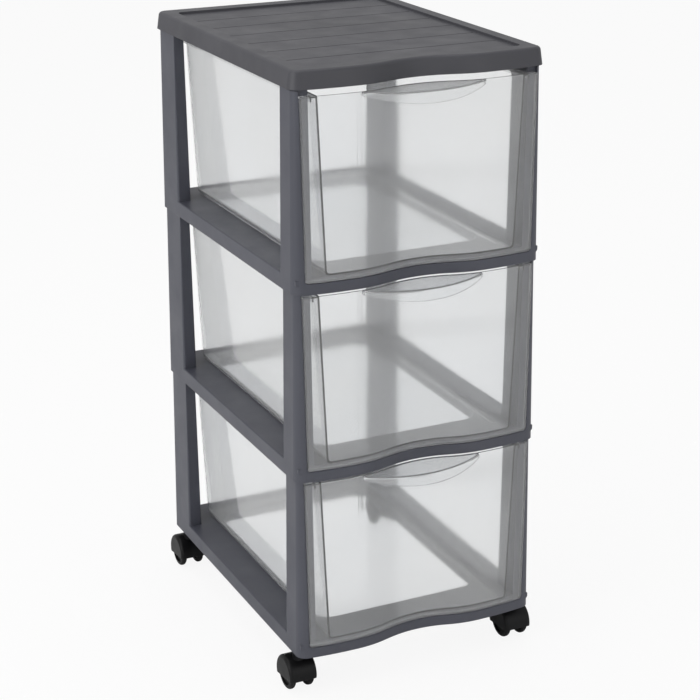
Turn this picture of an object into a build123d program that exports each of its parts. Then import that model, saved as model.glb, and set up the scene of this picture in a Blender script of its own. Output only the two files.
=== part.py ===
from build123d import *
import math
import os

# Drawer tower: three stacked moulded frames, three clear drawers, a lid and four twin-wheel casters.
# Millimetres. Z is up and the floor is at 0, the drawers open towards -Y, and the origin is at the
# centre of the footprint.

# Overall sizes
width = 300.0  # across the side skirts of a frame
depth = 410.0  # from the back skirt to the two shoulders of the front rail
pitch = 216.0  # from one frame to the next
base_height = 49.5  # from the floor to the bottom frame
tower_levels = ("bottom", "middle", "top")

# Moulding
wall = 2.2  # wall of the frames and the lid
corner_radius = 12.0
stack_fit = 0.35  # gap round a post top inside the frame or lid above it

# Wavy front line of the rails, the drawer fronts and the lid
shoulder_x = 78.0  # from the middle to each shoulder
wave_dip = 12.0  # how far the middle lies behind the shoulders
front_fall = 4.0  # how far the line falls back from a shoulder to the corner
fall_inset = 12.0  # from a side skirt to where that fall is measured

# Ring at the foot of each frame
ring_height = 17.5
ledge_width = 47.0
lip_height = 10.0
opening_radius = 20.0
ledge_edge_radius = 1.5

# Corner posts
front_post_width = 22.0
front_post_length = 44.0
back_post_width = 17.5
back_post_length = 58.0
post_edge_radius = 3.0
shoulder_height = 3.5  # post body that stands inside the rim above
seat_height = 9.5  # from the rim of a frame to the post top below that carries it
plug_step = 1.0  # shoulder left round the plug on a post top

# Sockets that take a caster stem or the peg of the post below
socket_outside = 11.6
socket_bore = 8.0
socket_height = 35.0
socket_floor = 2.0
rib = 2.0
peg_gap = 0.1
peg_height = 7.0
side_stem_inset = 9.0  # from a side skirt to a caster stem
front_stem_inset = 29.0  # from the shoulders of the front line
back_stem_inset = 31.0  # from the back skirt

# Drawer front and the pocket that it closes into
front_foot_inset = 12.5  # from a side skirt to the lower corner of the drawer front
front_head_inset = 9.0  # from a side skirt to its upper corner
front_foot = 13.0  # from the rim of the frame to the lower edge of the drawer front
front_corner_radius = 4.0
front_depth = 5.5  # depth of the drawer front's turned edge
pocket_side_gap = 0.8
pocket_foot_gap = 1.0
stop_gap = 0.3

# Drawer box
drawer_wall = 2.0
drawer_head_gap = 2.4  # from the drawer's upper edge to the rim of the frame above
box_side_gap = 35.0  # from the floor's side edges to the side skirts
box_back_gap = 22.0  # from the floor's back edge to the back skirt
box_lean = 2.65  # degrees
box_corner_radius = 16.0
box_foot_radius = 5.0
rim_side_gap = 20.2
rim_back_gap = 8.0
rim_radius = 20.0
rim_thickness = 2.0
rim_lip = 6.0
rim_lip_wall = 1.6
runner_inset = 7.0  # from the floor's side edges
runner_width = 6.0
runner_height = 1.5
runner_gap = 0.3
runner_front_inset = 26.0
runner_back_inset = 44.0

# Curved pull on the drawer front
pull_half = 73.0
pull_reach = 26.0  # beyond the shoulders of the front line
pull_end_reach = 3.4
pull_drop = 13.6  # from the drawer's upper edge to the lowest point of the pull
pull_end_drop = 4.0
pull_wall = 2.0
pull_fold_radius = 2.5

# Lid
lid_overhang = 1.0
lid_lift = 5.0  # lid rim above the next frame position
lid_height = 20.0
lid_lean = 8.0  # degrees
lid_edge_radius = 4.5
recess_side_inset = 19.0
recess_front_inset = 22.0
recess_back_inset = 24.0
recess_depth = 3.0
recess_radius = 8.0
recess_plate = 2.2
slats = 7
groove_width = 1.6
groove_depth = 1.2
groove_end_gap = 3.0

# Casters
wheel_radius = 19.0
wheel_width = 7.0
wheel_edge_radius = 3.0
wheel_inner_gap = 0.25
wheel_recess_depth = 2.2
wheel_recess_inside = 7.0
wheel_recess_outside = 14.0
trail = 6.0  # wheel axle behind the stem
axle_diameter = 5.0
running_gap = 0.05  # round a turning pin
spine_width = 15.0
hood_radius = 22.0
hood_side = 1.9
hood_edge_radius = 4.0
hood_front_edge = 17.0  # floor to the hood's front edge
hood_back_edge = 12.0  # floor to the hood's back edge
hood_wheel_gap = 0.7
hood_side_gap = 0.25
hub_radius = 8.0
neck_diameter = 14.0
neck_gap = 1.0
stem_diameter = 7.9
stem_seat_gap = 0.1
stem_foot = 30.0  # floor to the lower end of a stem
stem_tip_gap = 3.0
collar_diameter = 11.0
collar_height = 2.0

half_width = width / 2
fall_x = half_width - fall_inset
stem_x = half_width - side_stem_inset
front_foot_half = half_width - front_foot_inset
front_head_half = half_width - front_head_inset
drawer_top = pitch - drawer_head_gap
box_half = half_width - box_side_gap
rim_half = half_width - rim_side_gap
runner_x = box_half - runner_inset
recess_half = half_width - recess_side_inset
half_depth = (depth + pull_reach + lid_overhang) / 2
back_y = half_depth - lid_overhang
front_y = back_y - depth
lean_per_mm = (wall + stack_fit) / pitch  # a post top has to pass inside the rim above it
draft = math.degrees(math.atan(lean_per_mm))
plug_height = seat_height - shoulder_height
pocket_depth = front_depth + stop_gap
pocket_foot = front_foot - pocket_foot_gap
front_stem_y = front_y + front_stem_inset
back_stem_y = back_y - back_stem_inset
lid_z = base_height + len(tower_levels) * pitch + lid_lift

os.makedirs("parts", exist_ok=True)


def write_piece(piece, name, height=0.0):
    piece = piece.moved(Location((0, 0, height)))
    piece.label = name
    export_step(piece, "parts/" + name + ".step")


def rise(plan, height, lean=0.0, mode=Mode.ADD):
    """Carry a plan straight up, whichever way its face points."""
    extrude(plan, amount=height, dir=(0, 0, 1), taper=lean, mode=mode)


def wave_line(half, inset):
    """Draw the front line from -half to half, moved back by inset, and return the Y of its ends."""
    swing = (shoulder_x**2 + wave_dip**2) / (4 * wave_dip)
    turn = math.asin(shoulder_x / 2 / swing)
    bend_x = shoulder_x - (swing - inset) * math.sin(turn)
    bend_y = front_y + swing - (swing - inset) * math.cos(turn)
    run = fall_x - shoulder_x
    sweep = (run**2 + front_fall**2) / (2 * front_fall)
    end_y = front_y + sweep - math.sqrt((sweep - inset) ** 2 - (half - shoulder_x) ** 2)
    for side in (1, -1):
        peak = (side * shoulder_x, front_y + inset)
        bend = (side * bend_x, bend_y)
        TangentArc(peak, (side * half, end_y), tangent=(side, 0))
        TangentArc(peak, bend, tangent=(-side, 0))
        TangentArc((0, front_y + wave_dip + inset), bend, tangent=(side, 0))
    return end_y


def tower_plan(inset, z):
    """Outline of a frame seen from above, drawn in by inset."""
    with BuildSketch(Plane.XY.offset(z)) as plan:
        with BuildLine():
            end_y = wave_line(half_width, 0)
            Polyline((-half_width, end_y), (-half_width, back_y), (half_width, back_y), (half_width, end_y))
        make_face()
        sides = plan.vertices().group_by(Axis.X)
        fillet(sides[0] + sides[-1], corner_radius)
        if inset != 0:
            offset(amount=-inset, kind=Kind.INTERSECTION)
    return plan.sketch


def behind_front(inset):
    """Everything behind the front line moved back by inset."""
    with BuildPart() as space:
        with BuildSketch(Plane.XY.offset(-pitch)):
            with BuildLine():
                end_y = wave_line(half_width, inset)
                far_y = back_y + width
                Polyline((-half_width, end_y), (-half_width, far_y), (half_width, far_y), (half_width, end_y))
            make_face()
        extrude(amount=3 * pitch)
    return space.part


def front_slab(near, far, foot_half, head_half, foot_z, head_z, radius):
    """Slab between two insets of the front line, bounded by a tapered panel seen from the front."""
    with BuildPart() as slab:
        with BuildSketch(Plane.XY.offset(foot_z)):
            with BuildLine():
                near_y = wave_line(half_width, near)
                far_y = wave_line(half_width, far)
                Line((-half_width, near_y), (-half_width, far_y))
                Line((half_width, near_y), (half_width, far_y))
            make_face()
        extrude(amount=head_z - foot_z)
        with BuildSketch(Plane.XZ) as face:
            with BuildLine():
                Polyline(
                    (-foot_half, foot_z),
                    (foot_half, foot_z),
                    (head_half, head_z),
                    (-head_half, head_z),
                    close=True,
                )
            make_face()
            fillet(face.vertices().group_by(Axis.Y)[0], radius)
        extrude(amount=depth, both=True, mode=Mode.INTERSECT)
    return slab.part


def post_plan(side, at_front, inset, z, clear_pocket=False):
    """Section of a corner post, drawn in by inset."""
    post_width = front_post_width if at_front else back_post_width
    with BuildSketch(Plane.XY.offset(z)) as plan:
        add(tower_plan(0, 0))
        if at_front:
            inner_y = front_y + front_post_length
            middle_y = inner_y - front_post_length
        else:
            inner_y = back_y - back_post_length
            middle_y = inner_y + back_post_length
        with Locations((side * half_width, middle_y)):
            Rectangle(2 * post_width, 2 * abs(middle_y - inner_y), mode=Mode.INTERSECT)
        inner = plan.vertices().filter_by(lambda v: abs(v.Y - inner_y) < 0.01)
        fillet(inner, post_edge_radius)
        if inset != 0:
            offset(amount=-inset, kind=Kind.INTERSECTION)
        if clear_pocket:
            pocket_y = front_y + front_fall + pocket_depth + wall
            with Locations((side * half_width, pocket_y + depth / 2)):
                Rectangle(width, depth, mode=Mode.INTERSECT)
    return plan.sketch


def post_places():
    """The four posts: side, whether it is at the front, and where its socket stands."""
    for side in (-1, 1):
        yield side, True, (side * stem_x, front_stem_y)
        yield side, False, (side * stem_x, back_stem_y)


def socket_cross(side, at_front, place, low, high, walls):
    """Socket for a stem or peg and the cross of ribs that ties it to the walls round it."""
    post_width = front_post_width if at_front else back_post_width
    post_length = front_post_length if at_front else back_post_length
    post_y = front_y + post_length / 2 if at_front else back_y - post_length / 2
    with BuildPart() as cross:
        with BuildSketch(Plane.XY.offset(low)):
            with Locations((side * (half_width - post_width / 2), place[1])):
                Rectangle(post_width, rib)
            with Locations((place[0], post_y)):
                Rectangle(rib, post_length)
            with Locations(place):
                Circle(socket_outside / 2)
        extrude(amount=high - low)
        with BuildSketch(Plane.XY.offset(low)):
            with Locations(place):
                Circle(socket_bore / 2)
        extrude(amount=high - low - socket_floor, mode=Mode.SUBTRACT)
        add(walls, mode=Mode.INTERSECT)
    return cross.part


# Frame: ring with skirt, ledge and inner lip, moulded in one piece with four hollow posts.
body_top = pitch + shoulder_height
plug_top = pitch + seat_height
hollow_top = body_top - wall
front_beam = front_slab(
    wall / 2,
    pocket_depth + wall,
    half_width - wall,
    half_width - wall,
    pocket_foot - wall,
    ring_height - wall / 2,
    corner_radius / 4,
)
front_pocket = front_slab(
    -pull_reach,
    pocket_depth,
    front_foot_half + pocket_side_gap,
    front_head_half + pocket_side_gap,
    pocket_foot,
    pitch + 2 * seat_height,
    front_corner_radius + pocket_side_gap,
)

frame_sockets = []
for side, at_front, place in post_places():
    with BuildPart() as post_core:
        rise(post_plan(side, at_front, wall / 2, 0), body_top, draft)
    socket_top = seat_height + socket_height
    frame_sockets.append(
        socket_cross(side, at_front, place, seat_height, socket_top, post_core.part)
    )

with BuildPart() as frame:
    rise(tower_plan(0, 0), ring_height, draft)
    fillet(frame.edges().group_by(Axis.Z)[-1], ledge_edge_radius)
    rise(tower_plan(wall, 0), ring_height - wall, draft, Mode.SUBTRACT)
    opening_length = depth - front_fall - 2 * ledge_width
    opening_y = (back_y + front_y + front_fall) / 2
    with BuildSketch(Plane.XY.offset(ring_height - lip_height)):
        with Locations((0, opening_y)):
            RectangleRounded(
                width - 2 * ledge_width + 2 * wall,
                opening_length + 2 * wall,
                opening_radius + wall,
            )
    extrude(amount=lip_height - wall / 2)
    with BuildSketch():
        with Locations((0, opening_y)):
            RectangleRounded(width - 2 * ledge_width, opening_length, opening_radius)
    extrude(amount=ring_height, mode=Mode.SUBTRACT)
    add(front_beam)
    for side, at_front, place in post_places():
        rise(post_plan(side, at_front, 0, 0), body_top, draft)
        plug_inset = body_top * lean_per_mm + plug_step
        rise(post_plan(side, at_front, plug_inset, body_top), plug_height, draft)
        rise(post_plan(side, at_front, wall, 0), seat_height, draft, Mode.SUBTRACT)
        hollow = post_plan(side, at_front, wall, 0, clear_pocket=at_front)
        rise(hollow, hollow_top, draft, Mode.SUBTRACT)
    for socket in frame_sockets:
        add(socket)
    add(front_pocket, mode=Mode.SUBTRACT)
    for side, at_front, place in post_places():
        with BuildSketch(Plane.XY.offset(plug_top)):
            with Locations(place):
                Circle(socket_bore / 2 - peg_gap)
        extrude(amount=peg_height)

for level, name in enumerate(tower_levels):
    write_piece(frame.part, "frame_" + name, base_height + level * pitch)

# Drawer: clear tray with a wavy front, a turned edge round the front, a rim and a curved pull.
floor_z = ring_height + runner_gap + runner_height
box_height = drawer_top - floor_z
box_back = back_y - box_back_gap
front_edge = front_slab(
    0, front_depth, front_foot_half, front_head_half, front_foot, drawer_top, front_corner_radius
)
front_hollow = front_slab(
    drawer_wall,
    front_depth + wall,
    front_foot_half - drawer_wall,
    front_head_half - drawer_wall,
    front_foot + drawer_wall,
    drawer_top - drawer_wall,
    front_corner_radius / 2,
)


def tray(inset, z, height, foot_radius):
    """Tapered block with the plan of the drawer box, drawn in by inset, and a rounded foot."""
    with BuildPart() as block:
        with BuildSketch(Plane.XY.offset(z)) as plan:
            with Locations((0, (box_back - inset + front_y - wave_dip) / 2)):
                Rectangle(2 * (box_half - inset), box_back - inset - front_y + wave_dip)
            fillet(plan.vertices().group_by(Axis.Y)[-1], box_corner_radius - inset)
        extrude(amount=height, taper=-box_lean)
        fillet(block.faces().sort_by(Axis.Z)[0].edges(), foot_radius)
    return block.part


def rim_plan(inset, z):
    """Outer line of the drawer's rim, drawn in by inset."""
    with BuildSketch(Plane.XY.offset(z)) as plan:
        rim_back = back_y - rim_back_gap - inset
        with Locations((0, (rim_back + front_y) / 2)):
            Rectangle(2 * (rim_half - inset), rim_back - front_y)
        fillet(plan.vertices().group_by(Axis.Y)[-1], rim_radius - inset)
    return plan.sketch


box_outside = tray(0, floor_z, box_height, box_foot_radius)
box_inside = tray(drawer_wall, floor_z + drawer_wall, box_height, box_foot_radius - drawer_wall / 2)
behind_face = behind_front(drawer_wall)
behind_middle = behind_front(drawer_wall / 2)

with BuildPart() as box:
    rise(rim_plan(0, drawer_top - rim_lip), rim_lip)
    under_rim = rim_plan(rim_lip_wall, drawer_top - rim_lip)
    rise(under_rim, rim_lip - rim_thickness, mode=Mode.SUBTRACT)
    add(box_outside)
    add(behind_middle, mode=Mode.INTERSECT)

with BuildPart() as cavity:
    add(box_inside)
    add(behind_face, mode=Mode.INTERSECT)

with BuildPart() as pull:
    with BuildSketch(Plane.XY.offset(drawer_top - pitch)) as pull_plan:
        with BuildLine():
            end_y = front_y - pull_end_reach
            ThreePointArc((-pull_half, end_y), (0, front_y - pull_reach), (pull_half, end_y))
            root_y = front_y + wave_dip + drawer_wall
            Polyline((-pull_half, end_y), (-pull_half, root_y), (pull_half, root_y), (pull_half, end_y))
        make_face()
    extrude(amount=pitch)
    with BuildSketch(Plane.XZ):
        with BuildLine():
            end_z = drawer_top - pull_end_drop
            ThreePointArc((-pull_half, end_z), (0, drawer_top - pull_drop), (pull_half, end_z))
            Polyline((-pull_half, end_z), (-pull_half, drawer_top), (pull_half, drawer_top), (pull_half, end_z))
        make_face()
    extrude(amount=depth, both=True, mode=Mode.INTERSECT)
    fold = pull.edges().group_by(Axis.Z)[-1].filter_by(GeomType.CIRCLE)
    fillet(fold, pull_fold_radius)
    with BuildSketch(Plane.XY.offset(drawer_top - pitch)):
        add(pull_plan.sketch_local)
        offset(amount=-pull_wall, kind=Kind.INTERSECTION)
    extrude(amount=pitch - pull_wall, mode=Mode.SUBTRACT)
    add(behind_middle, mode=Mode.SUBTRACT)

with BuildPart() as drawer:
    add(front_edge)
    add(front_hollow, mode=Mode.SUBTRACT)
    add(box.part)
    add(cavity.part, mode=Mode.SUBTRACT)
    add(pull.part)
    runner_front = front_y + runner_front_inset
    runner_back = back_y - runner_back_inset
    with BuildSketch(Plane.XY.offset(floor_z - runner_height)):
        with Locations(
            (-runner_x, (runner_front + runner_back) / 2),
            (runner_x, (runner_front + runner_back) / 2),
        ):
            RectangleRounded(runner_width, runner_back - runner_front, runner_width / 3)
    extrude(amount=runner_height + drawer_wall / 2)

for level, name in enumerate(tower_levels):
    write_piece(drawer.part, "drawer_" + name, base_height + level * pitch)

# Lid: shallow cap with a leaning skirt, a recessed top of slats and sockets for the post pegs.
recess_length = depth - recess_front_inset - recess_back_inset
recess_y = (front_y + recess_front_inset + back_y - recess_back_inset) / 2
lid_seat = seat_height - lid_lift
under_top = lid_height - recess_depth - groove_depth - recess_plate

with BuildPart() as lid_core:
    rise(tower_plan(wall / 2 - lid_overhang, 0), under_top + socket_floor, lid_lean)

with BuildPart() as lid_sockets:
    for side, at_front, place in post_places():
        socket_top = under_top + socket_floor / 2
        add(socket_cross(side, at_front, place, lid_seat, socket_top, lid_core.part))

with BuildPart() as lid:
    rise(tower_plan(-lid_overhang, 0), lid_height, lid_lean)
    fillet(lid.edges().group_by(Axis.Z)[-1], lid_edge_radius)
    rise(tower_plan(wall - lid_overhang, 0), under_top, lid_lean, Mode.SUBTRACT)
    with BuildSketch(Plane.XY.offset(lid_height - recess_depth)):
        with Locations((0, recess_y)):
            RectangleRounded(2 * recess_half, recess_length, recess_radius)
    extrude(amount=recess_depth, mode=Mode.SUBTRACT)
    with BuildSketch(Plane.XY.offset(lid_height - recess_depth)):
        with Locations((0, recess_y)):
            with GridLocations(0, recess_length / slats, 1, slats - 1):
                Rectangle(2 * (recess_half - groove_end_gap), groove_width)
    extrude(amount=-groove_depth, mode=Mode.SUBTRACT)
    add(lid_sockets.part)

write_piece(lid.part, "top_lid", lid_z)

# Casters: steel stem fixed in the frame, swivelling hood, steel axle and two free-turning wheels.
hood_half = spine_width / 2 + hood_side_gap + wheel_inner_gap + wheel_width + hood_side
well_end = hood_half - hood_side
axle_half = well_end - hood_side_gap
wheel_middle = spine_width / 2 + wheel_inner_gap + wheel_width / 2


def caster_stem(place):
    with BuildPart() as stem:
        with BuildSketch(Plane.XY.offset(stem_foot)):
            with Locations(place):
                Circle(stem_diameter / 2)
        socket_top = base_height + seat_height + socket_height - socket_floor
        extrude(amount=socket_top - stem_tip_gap - stem_foot)
        chamfer(stem.edges().filter_by(GeomType.CIRCLE), stem_diameter / 10)
        with BuildSketch(Plane.XY.offset(base_height + seat_height - collar_height)):
            with Locations(place):
                Circle(collar_diameter / 2)
        extrude(amount=collar_height)
    return stem.part


def caster_hood(place):
    axle_y = place[1] + trail
    side_plane = Plane.YZ.offset(place[0] - hood_half)
    with BuildPart() as hood:
        with BuildSketch(side_plane):
            with Locations((axle_y, wheel_radius)):
                Circle(hood_radius)
        extrude(amount=2 * hood_half)
        fillet(hood.edges().filter_by(GeomType.CIRCLE), hood_edge_radius)
        with BuildSketch(side_plane):
            with BuildLine():
                reach = hood_radius + hood_edge_radius
                Polyline(
                    (axle_y - reach, hood_front_edge),
                    (axle_y - reach, -reach),
                    (axle_y + reach, -reach),
                    (axle_y + reach, hood_back_edge),
                    close=True,
                )
            make_face()
        extrude(amount=2 * hood_half, mode=Mode.SUBTRACT)
        for low in (place[0] - well_end, place[0] + spine_width / 2):
            with BuildSketch(Plane.YZ.offset(low)):
                with Locations((axle_y, wheel_radius)):
                    Circle(wheel_radius + hood_wheel_gap)
            extrude(amount=well_end - spine_width / 2, mode=Mode.SUBTRACT)
        with BuildSketch(Plane.YZ.offset(place[0] - spine_width / 2)):
            with Locations((axle_y, wheel_radius)):
                Circle(hub_radius)
        extrude(amount=spine_width)
        with BuildSketch(Plane.XY.offset(wheel_radius + hood_radius - neck_gap - hood_side)):
            with Locations(place):
                Circle(neck_diameter / 2)
        extrude(amount=base_height - hood_radius - wheel_radius + hood_side)
        with BuildSketch(Plane.XY.offset(stem_foot - stem_seat_gap)):
            with Locations(place):
                Circle(stem_diameter / 2 + running_gap)
        extrude(amount=base_height, mode=Mode.SUBTRACT)
        with BuildSketch(Plane.YZ.offset(place[0] - spine_width)):
            with Locations((axle_y, wheel_radius)):
                Circle(axle_diameter / 2)
        extrude(amount=2 * spine_width, mode=Mode.SUBTRACT)
    return hood.part


def caster_axle(place):
    with BuildPart() as axle:
        with BuildSketch(Plane.YZ.offset(place[0] - axle_half)):
            with Locations((place[1] + trail, wheel_radius)):
                Circle(axle_diameter / 2)
        extrude(amount=2 * axle_half)
    return axle.part


def caster_wheel(place, side):
    middle_x = place[0] + side * wheel_middle
    axle_line = Axis((middle_x, place[1] + trail, wheel_radius), (1, 0, 0))
    with BuildPart() as wheel:
        with BuildSketch(Plane((middle_x, place[1] + trail, wheel_radius), x_dir=(1, 0, 0), z_dir=(0, -1, 0))) as half:
            bore_radius = axle_diameter / 2 + running_gap
            with Locations((0, (wheel_radius + bore_radius) / 2)):
                Rectangle(wheel_width, wheel_radius - bore_radius)
            fillet(half.vertices().group_by(Axis.Z)[-1], wheel_edge_radius)
            recess_middle = (wheel_recess_outside + wheel_recess_inside) / 2
            recess_height = wheel_recess_outside - wheel_recess_inside
            with Locations((-wheel_width / 2, recess_middle), (wheel_width / 2, recess_middle)):
                Rectangle(2 * wheel_recess_depth, recess_height, mode=Mode.SUBTRACT)
        revolve(axis=axle_line)
    return wheel.part


caster_places = {
    "front_left": (-stem_x, front_stem_y),
    "front_right": (stem_x, front_stem_y),
    "back_left": (-stem_x, back_stem_y),
    "back_right": (stem_x, back_stem_y),
}
for corner, place in caster_places.items():
    write_piece(caster_stem(place), "caster_stem_" + corner)
    write_piece(caster_hood(place), "caster_hood_" + corner)
    write_piece(caster_axle(place), "caster_axle_" + corner)
    write_piece(caster_wheel(place, -1), "caster_wheel_" + corner + "_l")
    write_piece(caster_wheel(place, 1), "caster_wheel_" + corner + "_r")
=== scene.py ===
import bpy, math
from mathutils import Matrix, Vector

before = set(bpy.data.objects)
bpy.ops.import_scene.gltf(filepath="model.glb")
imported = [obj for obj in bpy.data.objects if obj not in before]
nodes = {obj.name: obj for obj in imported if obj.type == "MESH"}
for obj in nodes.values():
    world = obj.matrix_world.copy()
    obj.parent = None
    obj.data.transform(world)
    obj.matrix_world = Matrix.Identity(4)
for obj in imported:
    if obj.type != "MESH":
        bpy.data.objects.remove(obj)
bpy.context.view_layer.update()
LEVELS = ("bottom", "middle", "top")
CORNERS = ("front_left", "front_right", "back_left", "back_right")


# Casters, steel. Each stem is a zinc-plated rod pressed into the socket of a bottom post, and
# each axle a plain rod through the two wheels. Drawn rod, so its surface has fine streaks.

def dress(names, material):
    """Give one material to each named node."""
    for name in names:
        nodes[name].data.materials.clear()
        nodes[name].data.materials.append(material)


def drawn_steel():
    steel = bpy.data.materials.new("zinc_plated_rod")
    steel.use_nodes = True
    tree = steel.node_tree
    shader = tree.nodes["Principled BSDF"]
    shader.inputs["Metallic"].default_value = 1.0
    place = tree.nodes.new("ShaderNodeTexCoord")

    # noise squeezed to well under a millimetre in height gives level streaks
    squeeze = tree.nodes.new("ShaderNodeMapping")
    squeeze.inputs["Scale"].default_value = (260, 260, 2600)
    tree.links.new(place.outputs["Object"], squeeze.inputs["Vector"])
    streaks = tree.nodes.new("ShaderNodeTexNoise")
    streaks.inputs["Scale"].default_value = 1.0
    streaks.inputs["Detail"].default_value = 3.0
    tree.links.new(squeeze.outputs["Vector"], streaks.inputs["Vector"])

    tone = tree.nodes.new("ShaderNodeValToRGB")
    tone.color_ramp.elements[0].color = (0.42, 0.42, 0.43, 1)
    tone.color_ramp.elements[1].color = (0.66, 0.66, 0.68, 1)
    tree.links.new(streaks.outputs["Fac"], tone.inputs["Fac"])
    tree.links.new(tone.outputs["Color"], shader.inputs["Base Color"])
    dull = tree.nodes.new("ShaderNodeMapRange")
    dull.inputs["To Min"].default_value = 0.24
    dull.inputs["To Max"].default_value = 0.42
    tree.links.new(streaks.outputs["Fac"], dull.inputs["Value"])
    tree.links.new(dull.outputs["Result"], shader.inputs["Roughness"])
    return steel


rods = [part + corner for corner in CORNERS for part in ("caster_stem_", "caster_axle_")]
dress(rods, drawn_steel())


# Casters, plastic. Hood and wheels are moulded in black nylon and fitted over the steel rods:
# the hood satin, the wheels a little duller and lighter all over.

def moulded_plastic(name, dark, light, gloss, grain_size, grain_depth, soft_edge):
    """Moulded plastic: cloudy tone, fine grain from the tool and edges that the tool rounds."""
    plastic = bpy.data.materials.new(name)
    plastic.use_nodes = True
    tree = plastic.node_tree
    shader = tree.nodes["Principled BSDF"]
    place = tree.nodes.new("ShaderNodeTexCoord")

    cloud = tree.nodes.new("ShaderNodeTexNoise")
    cloud.inputs["Scale"].default_value = 7.0
    cloud.inputs["Detail"].default_value = 4.0
    tree.links.new(place.outputs["Object"], cloud.inputs["Vector"])
    tone = tree.nodes.new("ShaderNodeValToRGB")
    tone.color_ramp.elements[0].position = 0.35
    tone.color_ramp.elements[0].color = (*dark, 1)
    tone.color_ramp.elements[1].position = 0.65
    tone.color_ramp.elements[1].color = (*light, 1)
    tree.links.new(cloud.outputs["Fac"], tone.inputs["Fac"])
    tree.links.new(tone.outputs["Color"], shader.inputs["Base Color"])

    # handling leaves faint duller and shinier patches
    rubbed = tree.nodes.new("ShaderNodeTexNoise")
    rubbed.inputs["Scale"].default_value = 28.0
    rubbed.inputs["Detail"].default_value = 6.0
    tree.links.new(place.outputs["Object"], rubbed.inputs["Vector"])
    dull = tree.nodes.new("ShaderNodeMapRange")
    dull.inputs["From Min"].default_value = 0.3
    dull.inputs["From Max"].default_value = 0.7
    dull.inputs["To Min"].default_value = gloss[0]
    dull.inputs["To Max"].default_value = gloss[1]
    tree.links.new(rubbed.outputs["Fac"], dull.inputs["Value"])
    tree.links.new(dull.outputs["Result"], shader.inputs["Roughness"])

    grain = tree.nodes.new("ShaderNodeTexNoise")
    grain.inputs["Scale"].default_value = 1.0 / grain_size
    grain.inputs["Detail"].default_value = 2.0
    tree.links.new(place.outputs["Object"], grain.inputs["Vector"])
    rounded = tree.nodes.new("ShaderNodeBevel")
    rounded.samples = 6
    rounded.inputs["Radius"].default_value = soft_edge
    bump = tree.nodes.new("ShaderNodeBump")
    bump.inputs["Strength"].default_value = 0.35
    bump.inputs["Distance"].default_value = grain_depth
    tree.links.new(grain.outputs["Fac"], bump.inputs["Height"])
    tree.links.new(rounded.outputs["Normal"], bump.inputs["Normal"])
    tree.links.new(bump.outputs["Normal"], shader.inputs["Normal"])
    return plastic


hood_nylon = moulded_plastic(
    "hood_nylon", (0.0045, 0.0045, 0.005), (0.0075, 0.0075, 0.0085), (0.32, 0.44), 0.0011, 0.00012, 0.0008
)
wheel_nylon = moulded_plastic(
    "wheel_nylon", (0.006, 0.006, 0.0065), (0.011, 0.011, 0.012), (0.42, 0.60), 0.0007, 0.00020, 0.0006
)
NYLON_SHINE = 0.22  # below the usual 0.5, because the casters are nearly black in white light
for nylon in (hood_nylon, wheel_nylon):
    nylon.node_tree.nodes["Principled BSDF"].inputs["Specular IOR Level"].default_value = NYLON_SHINE
dress(["caster_hood_" + corner for corner in CORNERS], hood_nylon)
dress(["caster_wheel_" + corner + side for corner in CORNERS for side in ("_l", "_r")], wheel_nylon)


# Frames. Three equal mouldings in anthracite polypropylene, ring and four hollow posts in one
# piece, stacked by the sockets under each ring. The tool gives them a fine satin texture.

frame_grey = moulded_plastic(
    "frame_grey", (0.066, 0.069, 0.088), (0.078, 0.081, 0.102), (0.36, 0.48), 0.0009, 0.00010, 0.0008
)
dress(["frame_" + level for level in LEVELS], frame_grey)


# Drawers. Clear polypropylene, two millimetres thick and faintly milky, moulded with the wavy
# front, its turned edge and the curved pull in one piece. Each slides on the ledges of its frame.

def clear_plastic():
    clear = bpy.data.materials.new("clear_polypropylene")
    clear.use_nodes = True
    tree = clear.node_tree
    shader = tree.nodes["Principled BSDF"]
    shader.inputs["IOR"].default_value = 1.45
    shader.inputs["Transmission Weight"].default_value = 0.9
    place = tree.nodes.new("ShaderNodeTexCoord")

    haze = tree.nodes.new("ShaderNodeTexNoise")
    haze.inputs["Scale"].default_value = 5.0
    haze.inputs["Detail"].default_value = 3.0
    tree.links.new(place.outputs["Object"], haze.inputs["Vector"])
    tone = tree.nodes.new("ShaderNodeValToRGB")
    tone.color_ramp.elements[0].position = 0.3
    tone.color_ramp.elements[0].color = (0.955, 0.965, 0.975, 1)
    tone.color_ramp.elements[1].position = 0.7
    tone.color_ramp.elements[1].color = (0.985, 0.99, 0.99, 1)
    tree.links.new(haze.outputs["Fac"], tone.inputs["Fac"])
    tree.links.new(tone.outputs["Color"], shader.inputs["Base Color"])

    dull = tree.nodes.new("ShaderNodeMapRange")
    dull.inputs["From Min"].default_value = 0.3
    dull.inputs["From Max"].default_value = 0.7
    dull.inputs["To Min"].default_value = 0.05
    dull.inputs["To Max"].default_value = 0.12
    tree.links.new(haze.outputs["Fac"], dull.inputs["Value"])
    tree.links.new(dull.outputs["Result"], shader.inputs["Roughness"])

    # the moulded walls are never quite flat
    flow = tree.nodes.new("ShaderNodeTexNoise")
    flow.inputs["Scale"].default_value = 22.0
    flow.inputs["Detail"].default_value = 1.0
    tree.links.new(place.outputs["Object"], flow.inputs["Vector"])
    rounded = tree.nodes.new("ShaderNodeBevel")
    rounded.samples = 4
    rounded.inputs["Radius"].default_value = 0.0005
    bump = tree.nodes.new("ShaderNodeBump")
    bump.inputs["Strength"].default_value = 0.12
    bump.inputs["Distance"].default_value = 0.0006
    tree.links.new(flow.outputs["Fac"], bump.inputs["Height"])
    tree.links.new(rounded.outputs["Normal"], bump.inputs["Normal"])
    tree.links.new(bump.outputs["Normal"], shader.inputs["Normal"])
    return clear


dress(["drawer_" + level for level in LEVELS], clear_plastic())


# Lid. One anthracite moulding like the frames, set down on the four post tops. A little darker
# and duller than the frames, with its top in seven slats parted by narrow grooves.

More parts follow.
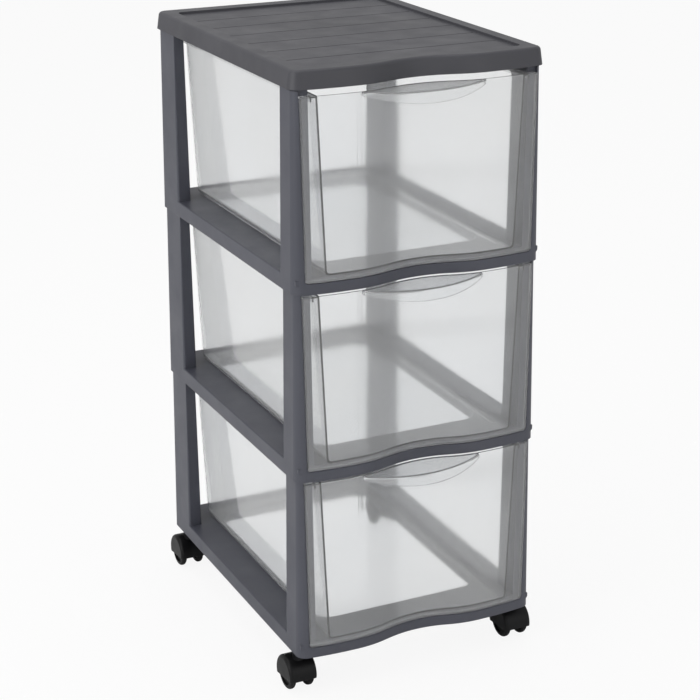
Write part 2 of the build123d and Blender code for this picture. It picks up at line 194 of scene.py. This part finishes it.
lid_grey = moulded_plastic(
    "lid_grey", (0.054, 0.054, 0.063), (0.066, 0.066, 0.077), (0.40, 0.54), 0.0010, 0.00014, 0.0008
)
dress(["top_lid"], lid_grey)


# Stage. A pale floor that keeps a faint shadow of the tower, white behind it, and three soft
# lamps at the left, above and in front.

FLOOR_GAP = 0.0004  # just clear of the wheels
FLOOR_GLOW = 0.9  # how much of the floor is plain white to the camera
bpy.ops.object.select_all(action="DESELECT")
bpy.ops.mesh.primitive_plane_add(size=30, location=(0, 0, -FLOOR_GAP))
floor = bpy.context.object
floor.name = "floor"
paint = bpy.data.materials.new("floor_white")
paint.use_nodes = True
tree = paint.node_tree
matt = tree.nodes["Principled BSDF"]
matt.inputs["Base Color"].default_value = (0.9, 0.9, 0.9, 1)
matt.inputs["Roughness"].default_value = 0.9
glow = tree.nodes.new("ShaderNodeEmission")
glow.inputs["Strength"].default_value = 1.0
rays = tree.nodes.new("ShaderNodeLightPath")
seen = tree.nodes.new("ShaderNodeMath")
seen.operation = "MAXIMUM"
tree.links.new(rays.outputs["Is Camera Ray"], seen.inputs[0])
tree.links.new(rays.outputs["Is Transmission Ray"], seen.inputs[1])
share = tree.nodes.new("ShaderNodeMath")
share.operation = "MULTIPLY"
share.inputs[1].default_value = FLOOR_GLOW
tree.links.new(seen.outputs[0], share.inputs[0])
blend = tree.nodes.new("ShaderNodeMixShader")
tree.links.new(share.outputs[0], blend.inputs["Fac"])
tree.links.new(matt.outputs["BSDF"], blend.inputs[1])
tree.links.new(glow.outputs["Emission"], blend.inputs[2])
tree.links.new(blend.outputs["Shader"], tree.nodes["Material Output"].inputs["Surface"])
floor.data.materials.append(paint)

world = bpy.data.worlds.new("studio")
bpy.context.scene.world = world
world.use_nodes = True
tree = world.node_tree
room = tree.nodes["Background"]
room.inputs["Color"].default_value = (1, 1, 1, 1)
room.inputs["Strength"].default_value = 0.58
white = tree.nodes.new("ShaderNodeBackground")
white.inputs["Color"].default_value = (1, 1, 1, 1)
white.inputs["Strength"].default_value = 1.0
rays = tree.nodes.new("ShaderNodeLightPath")
seen = tree.nodes.new("ShaderNodeMath")
seen.operation = "MAXIMUM"
tree.links.new(rays.outputs["Is Camera Ray"], seen.inputs[0])
tree.links.new(rays.outputs["Is Transmission Ray"], seen.inputs[1])
blend = tree.nodes.new("ShaderNodeMixShader")
tree.links.new(seen.outputs[0], blend.inputs["Fac"])
tree.links.new(room.outputs["Background"], blend.inputs[1])
tree.links.new(white.outputs["Background"], blend.inputs[2])
tree.links.new(blend.outputs["Shader"], tree.nodes["World Output"].inputs["Surface"])


def softbox(name, place, aim, size, power):
    light = bpy.data.lights.new(name, "AREA")
    light.shape = "RECTANGLE"
    light.size, light.size_y = size
    light.energy = power
    lamp = bpy.data.objects.new(name, light)
    bpy.context.collection.objects.link(lamp)
    lamp.location = place
    lamp.rotation_euler = (Vector(aim) - Vector(place)).to_track_quat("-Z", "Y").to_euler()


softbox("left_softbox", (-2.4, -0.6, 1.3), (0, 0, 0.4), (1.6, 1.6), 20)
softbox("top_softbox", (-0.3, 0.2, 2.6), (0, 0, 0.7), (1.8, 1.8), 14)
softbox("front_softbox", (0.9, -2.8, 1.2), (0, 0, 0.4), (1.2, 1.4), 5)


# Camera. A long lens to the left of the drawers and above the lid, fitted to the photographed
# view with a small vertical shift.

DISTANCE = 2.221618
turn, tilt, roll = math.radians(-25.437), math.radians(18.803), math.radians(-0.269)
target = Vector((0.003999, 0.0, 0.389194))
back = Vector((math.sin(turn) * math.cos(tilt), -math.cos(turn) * math.cos(tilt), math.sin(tilt)))
right = Vector((math.cos(turn), math.sin(turn), 0))
up = back.cross(right)
right, up = right * math.cos(roll) + up * math.sin(roll), up * math.cos(roll) - right * math.sin(roll)
shot = bpy.data.cameras.new("photo_camera")
shot.sensor_width = 36
shot.lens = 96.03
shot.shift_y = -0.06
shot.clip_start, shot.clip_end = 0.05, 60
camera = bpy.data.objects.new("photo_camera", shot)
bpy.context.collection.objects.link(camera)
facing = Matrix((right, up, back)).transposed().to_4x4()
camera.matrix_world = Matrix.Translation(target + back * DISTANCE) @ facing
bpy.context.scene.camera = camera
bpy.context.scene.view_settings.view_transform = "Standard"
